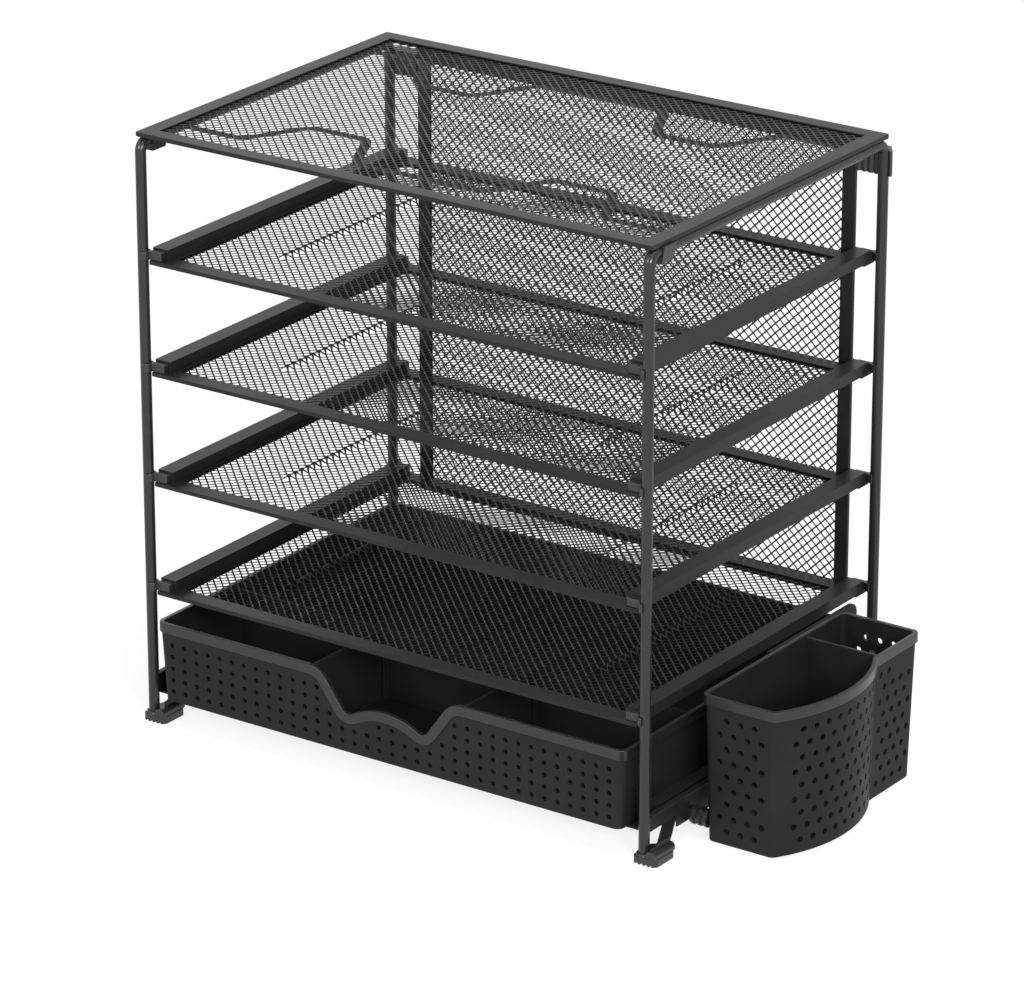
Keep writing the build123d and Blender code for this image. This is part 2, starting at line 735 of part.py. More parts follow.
def draw_holder_plan(sketch, inset, corner=holder_corner):
    """Outline of the pen holder in plan, inset from the outside of its rim."""
    notch = (holder_notch_x, holder_notch_y)
    with BuildLine() as outline:
        Polyline(
            notch,
            (holder_notch_x, holder_rear_y),
            (holder_inner_x, holder_rear_y),
            (holder_inner_x, holder_front_y),
            (holder_corner_x, holder_front_y),
        )
        ThreePointArc((holder_corner_x, holder_front_y), (holder_bulge_x, holder_bulge_y), notch)
    make_face(outline.edges())
    if inset != 0:
        offset(amount=-inset, kind=Kind.INTERSECTION)
    fillet(sketch.vertices().sort_by_distance(notch)[1:], corner)
    fillet(sketch.vertices().sort_by_distance(notch)[:1], holder_notch_round)


holder_floor_z = holder_bottom + holder_floor
holder_divider_y = holder_notch_y + holder_notch_round + holder_wall
hollow_corner = holder_corner - holder_wall
with BuildPart() as pen_holder:
    with BuildSketch(level(holder_bottom)) as cup_foot:
        draw_holder_plan(cup_foot, holder_draft)
    with BuildSketch(level(holder_top)) as cup_mouth:
        draw_holder_plan(cup_mouth, 0)
    loft(ruled=True)
    with BuildSketch(level(holder_top - holder_band)) as cup_band:
        draw_holder_plan(cup_band, -holder_band_proud)
    extrude(amount=holder_band)
    with BuildSketch(level(holder_floor_z)) as hollow_floor:
        draw_holder_plan(hollow_floor, holder_inset(holder_floor_z) + holder_wall, hollow_corner)
    with BuildSketch(level(holder_top)) as hollow_mouth:
        draw_holder_plan(hollow_mouth, holder_wall, hollow_corner)
    loft(ruled=True, mode=Mode.SUBTRACT)
    with BuildSketch(front_plane(holder_divider_y + holder_divider)):
        divider_top = holder_top - holder_divider_drop
        Polygon(
            (holder_inner_x + holder_draft + holder_wall / 2, holder_floor_z - holder_floor / 2),
            (holder_notch_x - holder_draft - holder_wall / 2, holder_floor_z - holder_floor / 2),
            (holder_notch_x - holder_wall / 2, divider_top),
            (holder_inner_x + holder_wall / 2, divider_top),
            align=None,
        )
    extrude(amount=holder_divider)
    with BuildSketch(side_plane(hanger_inner_x)) as hanger:
        with Locations((hanger_front_y, hanger_bottom)):
            Rectangle(hanger_rear_y - hanger_front_y, hanger_height, align=(Align.MIN, Align.MIN))
        fillet(hanger.vertices().group_by(Axis.X)[-1], radius=hanger_round)
        for hole in range(hanger_hole_count):
            hole_y = hanger_front_y + hanger_hole_setback + hole * hanger_hole_pitch
            with Locations((hole_y, hanger_top - hanger_hole_drop)):
                RegularPolygon(hanger_hole_radius, round_sides, mode=Mode.SUBTRACT)
    extrude(amount=hanger_thickness)
    with BuildSketch(level(hanger_bottom)):
        web_start_x = hanger_inner_x + hanger_thickness / 2
        web_end_x = holder_inner_x + holder_wall / 2
        last_web_y = holder_rear_y - holder_corner - holder_draft - hanger_web
        for web_y in (hanger_front_y, (hanger_front_y + last_web_y) / 2, last_web_y):
            with Locations((web_start_x, web_y)):
                Rectangle(web_end_x - web_start_x, hanger_web, align=(Align.MIN, Align.MIN))
    extrude(amount=hanger_height)
    for hook_y in hook_places:
        with BuildSketch(front_plane(hook_y + hook_width / 2)):
            leg_outer_x = web_inner_x - slide_gap
            arm_low_z = runner_top + slide_gap
            with BuildLine():
                Polyline(
                    (leg_outer_x - hook_leg, runner_top - hook_drop),
                    (leg_outer_x, runner_top - hook_drop),
                    (leg_outer_x, arm_low_z),
                    (holder_inner_x + holder_draft, arm_low_z),
                    (holder_inner_x + holder_draft, arm_low_z + hook_thickness),
                    (leg_outer_x - hook_leg, arm_low_z + hook_thickness),
                    close=True,
                )
            make_face()
        extrude(amount=hook_width)
save(pen_holder, "pen_holder")

# Ribbed standoffs on the right runner, behind the pen holder
standoff_z = runner_bottom - runner_skirt / 2
standoff_end_x = holder_inner_x + holder_inset(standoff_z + standoff_rib_radius) - slide_gap
standoff_length = standoff_end_x - web_outer_x
standoff_rib = standoff_length / (2 * standoff_rib_count)
with BuildPart() as standoffs:
    with BuildSketch(side_plane(web_outer_x)):
        with Locations(*[(standoff_y, standoff_z) for standoff_y in standoff_places]):
            RegularPolygon(standoff_radius, round_sides)
    extrude(amount=standoff_length)
    for rib in range(standoff_rib_count):
        with BuildSketch(side_plane(web_outer_x + (2 * rib + 1) * standoff_rib)):
            with Locations(*[(standoff_y, standoff_z) for standoff_y in standoff_places]):
                RegularPolygon(standoff_rib_radius, round_sides)
        extrude(amount=standoff_rib)
save(standoffs, "holder_standoffs")
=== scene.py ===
"""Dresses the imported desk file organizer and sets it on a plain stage."""
import math

import bpy
import numpy as np
from bpy.props import FloatProperty, FloatVectorProperty, IntProperty, PointerProperty
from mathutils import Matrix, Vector


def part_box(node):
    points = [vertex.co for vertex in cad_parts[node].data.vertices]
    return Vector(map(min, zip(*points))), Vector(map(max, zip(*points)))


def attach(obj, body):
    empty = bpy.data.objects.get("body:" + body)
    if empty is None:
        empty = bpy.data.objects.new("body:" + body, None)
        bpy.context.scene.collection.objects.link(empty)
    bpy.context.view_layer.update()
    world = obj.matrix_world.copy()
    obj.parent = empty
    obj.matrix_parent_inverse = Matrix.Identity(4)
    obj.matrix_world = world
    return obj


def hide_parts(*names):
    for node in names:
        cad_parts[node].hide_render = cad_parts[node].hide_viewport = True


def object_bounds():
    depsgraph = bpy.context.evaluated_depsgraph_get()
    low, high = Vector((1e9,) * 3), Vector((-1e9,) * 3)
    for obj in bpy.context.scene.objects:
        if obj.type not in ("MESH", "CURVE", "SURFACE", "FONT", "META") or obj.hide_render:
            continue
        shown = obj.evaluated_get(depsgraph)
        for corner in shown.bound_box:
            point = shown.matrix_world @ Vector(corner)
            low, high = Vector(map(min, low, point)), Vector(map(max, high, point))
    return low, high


bl_info = {
    "name": "Desk file organizer",
    "version": (1, 0, 0),
    "blender": (4, 5, 0),
    "location": "3D View > Sidebar > Organizer",
    "description": "Dresses a wire and expanded metal desk organizer with its drawer and pen holder",
    "category": "Object",
}

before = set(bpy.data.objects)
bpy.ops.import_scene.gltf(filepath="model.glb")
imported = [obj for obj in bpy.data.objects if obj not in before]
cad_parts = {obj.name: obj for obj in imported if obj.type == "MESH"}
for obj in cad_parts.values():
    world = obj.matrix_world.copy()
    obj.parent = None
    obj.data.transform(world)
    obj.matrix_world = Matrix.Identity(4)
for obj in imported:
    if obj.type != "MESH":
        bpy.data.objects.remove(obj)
cad_box = [list(corner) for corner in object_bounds()]

TRAYS = (1, 2, 3, 4)
SIDES = ("left", "right")
WHITE = (1, 1, 1, 1)
MERGE = 1e-6
FLAT_ANGLE = math.radians(0.5)
SHARP_ANGLE = math.radians(28)
SMOOTH_ANGLE = math.radians(38)

# finish: its colour, its share of that colour's roughness, the size and height of its grain,
# the size of its clouds, its specular level
FINISHES = {
    "satin powder coat": ("steel", 1.0, 0.0011, 0.00008, 0.03, 0.14),
    "glossy wire coat": ("steel", 0.75, 0.0014, 0.00005, 0.03, 0.4),
    "glossy net coat": ("steel", 0.8, 0.0009, 0.00005, 0.03, 0.22),
    "moulded drawer plastic": ("plastic", 1.0, 0.0006, 0.00006, 0.05, 0.1),
    "moulded holder plastic": ("plastic", 1.0, 0.0006, 0.00006, 0.04, 0.1),
    "smooth rim plastic": ("plastic", 0.62, 0.002, 0.00003, 0.05, 0.42),
    "glossy clip plastic": ("plastic", 0.8, 0.0008, 0.00005, 0.02, 0.5),
}

# lamp: its place from the point looked at, its width and height
LAMPS = (
    ("key", (-0.5, -2.2, 1.05), (1.0, 0.8)),
    ("back", (-1.5, 1.45, 0.8), (1.0, 0.7)),
    ("top", (0.5, -0.2, 1.9), (1.2, 1.2)),
    ("fill", (1.88, -1.5, 0.88), (0.9, 0.6)),
)

rim_low, rim_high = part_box("top_rim")
middle = (rim_low + rim_high) / 2


class WireSettings(bpy.types.PropertyGroup):
    """Round wire of the two side frames."""
    sides: IntProperty(name="Sides", description="Faces around the wire", default=20, min=8)
    bend: FloatProperty(
        name="Bend", description="Bend radius at the middle of the wire", default=0.0055, unit="LENGTH")
    bend_steps: IntProperty(name="Bend steps", description="Rings in each bend", default=10, min=3)


class NetSettings(bpy.types.PropertyGroup):
    """Expanded metal of the top, the trays and the back."""
    sheet: FloatProperty(
        name="Sheet", description="Thickness of the net's place in its rim", default=0.001, unit="LENGTH")
    width: FloatProperty(
        name="Diamond width", description="Diamond across the panel", default=0.00569, unit="LENGTH")
    length: FloatProperty(
        name="Diamond length", description="Diamond along the panel", default=0.00562, unit="LENGTH")
    strand: FloatProperty(name="Strand", description="Width of a strand", default=0.00128, unit="LENGTH")
    pressed: FloatProperty(
        name="Pressed strand", description="Width of a strand folded into a rib", default=0.0022,
        unit="LENGTH")
    flatness: FloatProperty(
        name="Flatness", description="Thickness of a strand as a share of its width", default=0.4,
        subtype="FACTOR")
    lean: FloatProperty(
        name="Lean", description="Slope of each strand up to the right, left by the stretching", default=0.27)
    knuckle: FloatProperty(
        name="Knuckle", description="Height of a strand joint over its neighbours", default=0.0003,
        unit="LENGTH")
    bead_width: FloatProperty(
        name="Bead width", description="Width of a wavy bead", default=0.0058, unit="LENGTH")
    bead_depth: FloatProperty(
        name="Bead depth", description="Depth of a wavy bead", default=0.001, unit="LENGTH")
    bead_sheet: FloatProperty(
        name="Bead sheet", description="Thickness of a bead's sheet", default=0.00032, unit="LENGTH")
    bead_steps: IntProperty(name="Bead steps", description="Faces along a bead", default=160)
    bead_end: FloatProperty(
        name="Bead end", description="Bead's ends from the rim", default=0.0135, unit="LENGTH")
    bead_edge: FloatProperty(
        name="Bead edge", description="Bead's straight runs from the panel's edge", default=0.029,
        unit="LENGTH")
    bead_rise: FloatProperty(name="Bead rise", description="Height of an arch", default=0.036, unit="LENGTH")
    bead_centre: FloatProperty(
        name="Arch place", description="Arch's middle from the panel's middle", default=0.078, unit="LENGTH")
    bead_foot: FloatProperty(
        name="Arch foot", description="Half width at the foot", default=0.041, unit="LENGTH")
    bead_top: FloatProperty(
        name="Arch top", description="Half width at the top", default=0.015, unit="LENGTH")
    rib_inset: FloatProperty(
        name="Rib inset", description="Zigzag rib from the net's side", default=0.043, unit="LENGTH")
    rib_length: FloatProperty(name="Rib length", description="Length of a rib", default=0.138, unit="LENGTH")
    rib_rise: FloatProperty(
        name="Rib rise", description="Height of a rib's folds", default=0.0026, unit="LENGTH")


class PlasticSettings(bpy.types.PropertyGroup):
    """Moulded drawer and pen holder."""
    edge: FloatProperty(name="Edge", description="Softened moulded edge", default=0.0005, unit="LENGTH")
    drawer_hole: FloatProperty(
        name="Drawer hole", description="Radius of a hole in the drawer front", default=0.00145,
        unit="LENGTH")
    holder_hole: FloatProperty(
        name="Holder hole", description="Radius of a hole in the pen holder", default=0.0018, unit="LENGTH")
    hole_sides: IntProperty(name="Hole sides", description="Faces in a hole", default=14, min=6)
    hole_length: FloatProperty(
        name="Hole length", description="Length of the cutter of a hole", default=0.0064, unit="LENGTH")
    drawer_columns: IntProperty(name="Drawer columns", description="Columns of holes each side", default=18)
    drawer_side: FloatProperty(
        name="Drawer side", description="Outermost column from the middle", default=0.143, unit="LENGTH")
    drawer_pitch: FloatProperty(
        name="Drawer pitch", description="Columns of the drawer front", default=0.00816, unit="LENGTH")
    drawer_rows: IntProperty(name="Drawer rows", description="Rows of the drawer front", default=5)
    drawer_row: FloatProperty(
        name="Lowest row", description="Lowest row over the drawer's bottom", default=0.0061, unit="LENGTH")
    drawer_row_pitch: FloatProperty(
        name="Drawer row pitch", description="Rows of the drawer front", default=0.0068, unit="LENGTH")
    holder_pitch: FloatProperty(
        name="Holder pitch", description="Columns of the pen holder", default=0.00858, unit="LENGTH")
    holder_rows: IntProperty(name="Holder rows", description="Rows of the pen holder", default=9)
    holder_row: FloatProperty(
        name="Top row", description="Top row under the pen holder's top", default=0.0125, unit="LENGTH")
    holder_row_pitch: FloatProperty(
        name="Holder row pitch", description="Rows of the pen holder", default=0.00785, unit="LENGTH")


class FinishSettings(bpy.types.PropertyGroup):
    """Colours and gloss."""
    steel: FloatVectorProperty(
        name="Coated steel", description="Powder coat", default=(0.013, 0.013, 0.0133), subtype="COLOR")
    steel_roughness: FloatProperty(name="Coat roughness", description="Gloss of the coat", default=0.34)
    plastic: FloatVectorProperty(
        name="Plastic", description="Moulded plastic", default=(0.0115, 0.0115, 0.0118), subtype="COLOR")
    plastic_roughness: FloatProperty(
        name="Plastic roughness", description="Gloss of the plastic", default=0.5)
    edge: FloatProperty(name="Sheet edge", description="Softened sheet edge", default=0.0004, unit="LENGTH")


class StageSettings(bpy.types.PropertyGroup):
    """Camera, floor and light."""
    azimuth: FloatProperty(
        name="Azimuth", description="Camera's turn about the object", default=math.radians(34.988),
        subtype="ANGLE")
    elevation: FloatProperty(
        name="Elevation", description="Camera's height angle", default=math.radians(21.26), subtype="ANGLE")
    distance: FloatProperty(name="Distance", description="Camera's distance", default=3.0, unit="LENGTH")
    height: FloatProperty(
        name="Target height", description="Height looked at", default=0.168, unit="LENGTH")
    drop: FloatProperty(
        name="Drop", description="Camera's shift down its own view", default=0.0314, unit="LENGTH")
    lens: FloatProperty(name="Lens", description="Focal length in millimetres", default=196.4)
    sensor: FloatProperty(name="Sensor", description="Width of the sensor in millimetres", default=36.0)
    reach: FloatProperty(name="Reach", description="How far the camera sees", default=50.0, unit="LENGTH")
    floor: FloatProperty(name="Floor", description="Side of the floor", default=10.0, unit="LENGTH")
    floor_plain: FloatProperty(
        name="Floor light", description="Grey of the floor that lights the object", default=0.8)
    floor_shade: FloatProperty(
        name="Floor shade", description="Grey of the floor that shows its shadows", default=0.2)
    floor_glow: FloatProperty(
        name="Floor glow", description="Light added to the floor where it shows", default=0.82)
    sky: FloatProperty(name="Sky", description="Strength of the even light", default=0.45)
    key: FloatProperty(name="Key", description="Power of the key light in watts", default=34.0)
    back: FloatProperty(
        name="Back", description="Power of the light behind on the left in watts", default=0.4)
    top: FloatProperty(name="Top", description="Power of the light overhead in watts", default=30.0)
    fill: FloatProperty(name="Fill", description="Power of the light from the front in watts", default=50.0)


def only(piece):
    """Leaves one piece selected and active."""
    bpy.ops.object.select_all(action="DESELECT")
    piece.select_set(True)
    bpy.context.view_layer.objects.active = piece


def edit(piece, mode="VERT"):
    """Opens one piece in edit mode."""
    only(piece)
    bpy.ops.object.mode_set(mode="EDIT")
    bpy.ops.mesh.select_mode(type=mode)


def leave_edit():
    """Goes back to object mode."""
    bpy.ops.object.mode_set(mode="OBJECT")


def settle(piece):
    """Puts a piece's place into its mesh."""
    only(piece)
    bpy.ops.object.transform_apply(location=True, rotation=True, scale=True)


def apply(piece, modifier):
    """Makes a modifier part of the mesh."""
    only(piece)
    bpy.ops.object.modifier_apply(modifier=modifier.name)


def smooth(piece):
    """Smooths a piece except at its sharp edges."""
    only(piece)
    bpy.ops.object.shade_smooth_by_angle(angle=SMOOTH_ANGLE)


def even(piece):
    """Smooths a piece with its large faces kept flat."""
    smooth(piece)
    weigh = piece.modifiers.new("normals", "WEIGHTED_NORMAL")
    weigh.mode = "FACE_AREA"
    weigh.weight = 100
    weigh.keep_sharp = True
    apply(piece, weigh)


def solid_copy(node, name):
    """A piece with a solid's faces, joined up, each flat face made whole on either side of the middle."""
    piece = bpy.data.objects.new(name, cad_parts[node].data.copy())
    bpy.context.scene.collection.objects.link(piece)
    low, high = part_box(node)
    edit(piece, "EDGE")
    bpy.ops.mesh.select_all(action="SELECT")
    bpy.ops.mesh.remove_doubles(threshold=MERGE)
    for across in ((1, 0, 0), (0, 1, 0)):
        bpy.ops.mesh.select_all(action="SELECT")
        bpy.ops.mesh.bisect(plane_co=(low + high) / 2, plane_no=across)
        bpy.ops.mesh.mark_seam()
    bpy.ops.mesh.select_all(action="SELECT")
    bpy.ops.mesh.dissolve_limited(angle_limit=FLAT_ANGLE, delimit={"SEAM"})
    leave_edit()
    return piece


def soften(piece, width):
    """Rounds a piece's sharp edges."""
    bevel = piece.modifiers.new("edges", "BEVEL")
    bevel.width = width
    bevel.segments = 2
    bevel.limit_method = "ANGLE"
    bevel.angle_limit = SHARP_ANGLE
    apply(piece, bevel)
    even(piece)


def fit(piece, body, slot, material, *nodes):
    """Gives a piece its finish and body, in place of the solids it stands for."""
    piece.data.materials.clear()
    piece.data.materials.append(material)
    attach(piece, body)
    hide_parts(*nodes)


def add_node(tree, kind, inputs=None, **settings):
    """A shader node with its sockets and settings."""
    made = tree.nodes.new(kind)
    for key, value in settings.items():
        setattr(made, key, value)
    for key, value in (inputs or {}).items():
        made.inputs[key].default_value = value
    return made


def finish(name):
    """A dark finish: a fine grain that catches light, with gloss and depth a little uneven."""
    found = bpy.data.materials.get(name)
    if found:
        return found
    base, share, grain, lift, cloud, specular = FINISHES[name]
    look = bpy.context.scene.organizer_finish
    colour = tuple(getattr(look, base))
    roughness = getattr(look, f"{base}_roughness") * share
    material = bpy.data.materials.new(name)
    material.use_nodes = True
    tree = material.node_tree
    surface = tree.nodes["Principled BSDF"]
    surface.inputs["Specular IOR Level"].default_value = specular
    place = add_node(tree, "ShaderNodeTexCoord")
    fine = add_node(tree, "ShaderNodeTexNoise", {"Scale": 1 / grain, "Detail": 3.0, "Roughness": 0.55})
    bump = add_node(tree, "ShaderNodeBump", {"Strength": 0.35, "Distance": lift})
    broad = add_node(tree, "ShaderNodeTexNoise", {"Scale": 1 / cloud, "Detail": 4.0, "Roughness": 0.6})
    faint, strong = 0.3, 0.7
    gloss_spread, tint_spread = 0.12, 0.15
    gloss = add_node(tree, "ShaderNodeMapRange", {
        "From Min": faint, "From Max": strong,
        "To Min": roughness * (1 - gloss_spread), "To Max": roughness * (1 + gloss_spread)})
    tint = add_node(tree, "ShaderNodeValToRGB")
    ends = ((faint, 1 - tint_spread), (strong, 1 + tint_spread))
    for stop, (position, depth) in zip(tint.color_ramp.elements, ends):
        stop.position = position
        stop.color = (*(part * depth for part in colour), 1)
    tree.links.new(place.outputs["Object"], fine.inputs["Vector"])
    tree.links.new(place.outputs["Object"], broad.inputs["Vector"])
    tree.links.new(fine.outputs["Fac"], bump.inputs["Height"])
    tree.links.new(bump.outputs["Normal"], surface.inputs["Normal"])
    tree.links.new(broad.outputs["Fac"], gloss.inputs["Value"])
    tree.links.new(gloss.outputs["Result"], surface.inputs["Roughness"])
    tree.links.new(broad.outputs["Fac"], tint.inputs["Fac"])
    tree.links.new(tint.outputs["Color"], surface.inputs["Base Color"])
    return material


def bent_wire(name, node, settings):
    """A round wire that goes up a front post, back along the top and down the rear post."""
    low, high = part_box(node)
    radius = (high.x - low.x) / 2
    x = (low.x + high.x) / 2
    front, rear = low.y + radius, high.y - radius
    top = high.z - radius
    straight = top - settings.bend - low.z
    bpy.ops.object.select_all(action="DESELECT")
    bpy.ops.mesh.primitive_circle_add(
        vertices=settings.sides, radius=radius, fill_type="NGON", location=(x, front, low.z))
    piece = bpy.context.object
    piece.name = name
    settle(piece)
    edit(piece, "FACE")
    bpy.ops.mesh.select_all(action="SELECT")
    bpy.ops.mesh.extrude_region_move(TRANSFORM_OT_translate={"value": (0, 0, straight)})
    bpy.ops.mesh.spin(
        steps=settings.bend_steps, angle=math.pi / 2, axis=(1, 0, 0),
        center=(x, front + settings.bend, top - settings.bend))
    bpy.ops.mesh.extrude_region_move(
        TRANSFORM_OT_translate={"value": (0, rear - front - 2 * settings.bend, 0)})
    bpy.ops.mesh.spin(
        steps=settings.bend_steps, angle=math.pi / 2, axis=(1, 0, 0),
        center=(x, rear - settings.bend, top - settings.bend))
    bpy.ops.mesh.extrude_region_move(TRANSFORM_OT_translate={"value": (0, 0, -straight)})
    bpy.ops.mesh.select_all(action="SELECT")
    bpy.ops.mesh.remove_doubles(threshold=MERGE)
    bpy.ops.mesh.normals_make_consistent(inside=False)
    leave_edit()
    smooth(piece)
    return piece


def diamond_sheet(name, centre, size, cell, knuckle, upright):
    """A flat sheet of diamond faces, each joint of every second row raised a little."""
    across = max(1, round(size[0] / cell[0]))
    along = max(1, round(size[1] / cell[1]))
    bpy.ops.object.select_all(action="DESELECT")
    bpy.ops.mesh.primitive_grid_add(
        x_subdivisions=across, y_subdivisions=along, size=1, location=centre,
        rotation=(math.pi / 2 if upright else 0, 0, 0))
    piece = bpy.context.object
    piece.name = name
    piece.scale = (size[0], size[1], 1)
    settle(piece)
    corners = len(piece.data.vertices)
    edit(piece, "FACE")
    bpy.ops.mesh.select_all(action="SELECT")
    bpy.ops.mesh.poke(offset=knuckle)
    bpy.ops.mesh.select_all(action="DESELECT")
    bpy.ops.mesh.select_mode(type="EDGE")
    leave_edit()
    shared = {}
    for face in piece.data.polygons:
        for key in face.edge_keys:
            shared[key] = shared.get(key, 0) + 1
    for edge in piece.data.edges:
        inner = shared[edge.key] == 2
        edge.select = inner and max(edge.vertices) < corners
    bpy.ops.object.mode_set(mode="EDIT")
    bpy.ops.mesh.dissolve_edges(use_verts=False, use_face_split=False)
    leave_edit()
    return piece


def strands(piece, width, pressed, weights):
    """Turns the edges of a diamond sheet into strands, wider where the press flattened them."""
    group = piece.vertex_groups.new(name="strand")
    plain = width / pressed
    for index, weight in enumerate(weights):
        group.add([index], plain + (1 - plain) * float(weight), "REPLACE")
    wire = piece.modifiers.new("strands", "WIREFRAME")
    wire.thickness = pressed
    wire.offset = 0
    wire.use_even_offset = False
    wire.use_boundary = True
    wire.vertex_group = group.name
    apply(piece, wire)
    piece.vertex_groups.clear()


def flatten(piece, axis, level, share):
    """Thins the strands of a net about its own plane."""
    points = places(piece)
    points[:, axis] = level + (points[:, axis] - level) * share
    put_places(piece, points)


def lean(piece, corner, pitch, slope):
    """Slopes each strand of a flat net up towards the right."""
    points = places(piece)
    across = (points[:, 0] - corner[0]) / pitch[0]
    along = (points[:, 1] - corner[1]) / pitch[1]
    rising, falling = across - along, across + along
    rising -= np.rint(rising)
    falling -= np.rint(falling)
    points[:, 2] += slope * pitch[0] * np.where(np.abs(rising) < np.abs(falling), rising, falling)
    put_places(piece, points)


def places(piece):
    """Every vertex of a piece as one array."""
    flat = np.empty(len(piece.data.vertices) * 3)
    piece.data.vertices.foreach_get("co", flat)
    return flat.reshape(-1, 3)


def put_places(piece, points):
    """Puts an array of places back into a piece."""
    piece.data.vertices.foreach_set("co", points.ravel())
    piece.data.update()


def arch(x, settings):
    """Share of the rise that a wavy bead has at a place across the panel."""
    away = np.abs(np.abs(x) - settings.bead_centre)
    slope = np.clip((settings.bead_foot - away) / (settings.bead_foot - settings.bead_top), 0, 1)
    return slope * slope * (3 - 2 * slope)


def ribbon(name, path, width, height, thickness):
    """A flat ribbon along a path of points in plan."""
    steps = len(path)
    bpy.ops.object.select_all(action="DESELECT")
    bpy.ops.mesh.primitive_grid_add(x_subdivisions=steps - 1, y_subdivisions=1, size=2, location=(0, 0, 0))
    piece = bpy.context.object
    piece.name = name
    points = places(piece)
    along = np.rint((points[:, 0] + 1) / 2 * (steps - 1)).astype(int)
    run = np.gradient(path, axis=0)
    run /= np.linalg.norm(run, axis=1)[:, None]
    across = np.stack([-run[:, 1], run[:, 0]], axis=1)
    points[:, :2] = path[along] + across[along] * points[:, 1:2] * width / 2
    points[:, 2] = height
    put_places(piece, points)
    solid = piece.modifiers.new("sheet", "SOLIDIFY")
    solid.thickness = thickness
    apply(piece, solid)
    return piece


def press_beads(piece, settings, level):
    """Joins the wavy beads to the top panel, one near its front and one near its rear."""
    reach = (rim_high.x - rim_low.x) / 2 - settings.bead_end
    run = np.linspace(-reach, reach, settings.bead_steps)
    line = settings.bead_edge - (rim_high.y - rim_low.y) / 2 + settings.bead_rise * arch(run, settings)
    beads = []
    for side in (1, -1):
        path = np.stack([middle.x + run, middle.y + side * line], axis=1)
        beads.append(
            ribbon("bead", path, settings.bead_width, level - settings.bead_depth, settings.bead_sheet))
    only(piece)
    for bead in beads:
        bead.select_set(True)
    bpy.ops.object.join()


def rib_folds(points, half_width, settings):
    """How far each point of a tray's net is up the side of a rib, from 0 to 1."""
    cell = 2 * half_width / round(2 * half_width / settings.width)
    side = half_width - round(settings.rib_inset / cell) * cell
    across = np.abs(np.abs(points[:, 0] - middle.x) - side)
    along = np.abs(points[:, 1] - middle.y)
    return np.clip(1 - across / (cell / 2), 0, 1) * (along < settings.rib_length / 2)


class ORGANIZER_OT_wire_frames(bpy.types.Operator):
    """Bends the two side frames from round wire"""
    bl_idname = "organizer.wire_frames"
    bl_label = "Wire frames"

    def execute(self, context):
        for side in SIDES:
            piece = bent_wire(f"{side}_wire", f"{side}_side_frame", context.scene.organizer_wire)
            fit(piece, "frame", "coated_wire", finish("glossy wire coat"), f"{side}_side_frame")
        return {"FINISHED"}


class ORGANIZER_OT_sheet_rims(bpy.types.Operator):
    """Folds the sheet rims of the top, the trays and the back"""
    bl_idname = "organizer.sheet_rims"
    bl_label = "Sheet rims"

    def execute(self, context):
        edge = context.scene.organizer_finish.edge
        for node in ("top_rim", *(f"tray_{number}_rim" for number in TRAYS), "back_rim"):
            piece = solid_copy(node, f"{node}_sheet")
            soften(piece, edge)
            fit(piece, "frame", "coated_sheet", finish("satin powder coat"), node)
        return {"FINISHED"}


class ORGANIZER_OT_nets(bpy.types.Operator):
    """Stretches the expanded metal of the top, the trays and the back"""
    bl_idname = "organizer.nets"
    bl_label = "Expanded metal"

    def execute(self, context):
        settings = context.scene.organizer_net
        diamond = (settings.width, settings.length)
        for node in ("top_mesh", *(f"tray_{number}_mesh" for number in TRAYS)):
            low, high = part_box(node)
            level = high.z - settings.sheet / 2 if node == "top_mesh" else low.z + settings.sheet / 2
            size = (high.x - low.x, high.y - low.y)
            centre = ((low.x + high.x) / 2, (low.y + high.y) / 2, level - settings.knuckle / 2)
            piece = diamond_sheet(f"{node}_strands", centre, size, diamond, settings.knuckle, False)
            half = size[0] / 2
            folds = np.zeros(len(piece.data.vertices))
            if node != "top_mesh":
                folds = rib_folds(places(piece), half, settings)
            strands(piece, settings.strand, settings.pressed, folds)
            flatten(piece, 2, level, settings.flatness)
            pitch = [whole / round(whole / part) for whole, part in zip(size, diamond)]
            lean(piece, low, pitch, settings.lean)
            if node == "top_mesh":
                press_beads(piece, settings, level)
            else:
                points = places(piece)
                points[:, 2] += settings.rib_rise * rib_folds(points, half, settings)
                put_places(piece, points)
            smooth(piece)
            fit(piece, "frame", "coated_mesh", finish("glossy net coat"), node)
        low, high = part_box("back_mesh")
        size = (high.x - low.x, high.z - low.z)
        piece = diamond_sheet("back_mesh_strands", (low + high) / 2, size, diamond, settings.knuckle, True)
        strands(piece, settings.strand, settings.pressed, np.zeros(len(piece.data.vertices)))
        flatten(piece, 1, (low.y + high.y) / 2, settings.flatness)
        smooth(piece)
        fit(piece, "frame", "coated_mesh", finish("glossy net coat"), "back_mesh")
        return {"FINISHED"}


class ORGANIZER_OT_fittings(bpy.types.Operator):
    """Rounds the clips, feet, runners and spacers"""
    bl_idname = "organizer.fittings"
    bl_label = "Clips, feet and runners"

    def execute(self, context):
        edge = context.scene.organizer_finish.edge
        clips = [f"tray_{number}_corner_clips" for number in TRAYS]
        clips += [f"{place}_clip_{side}" for place in ("back", "top") for side in SIDES]
        clips += [f"{end}_{side}_foot" for end in ("front", "rear") for side in SIDES]
        clips += ["holder_standoffs"]
        for node in clips:
            piece = solid_copy(node, f"{node}_moulded")
            soften(piece, edge)
            fit(piece, "frame", "clip_plastic", finish("glossy clip plastic"), node)
        for side in SIDES:
            piece = solid_copy(f"{side}_runner", f"{side}_runner_sheet")
            soften(piece, edge)
            fit(piece, "frame", "coated_sheet", finish("satin powder coat"), f"{side}_runner")
        return {"FINISHED"}


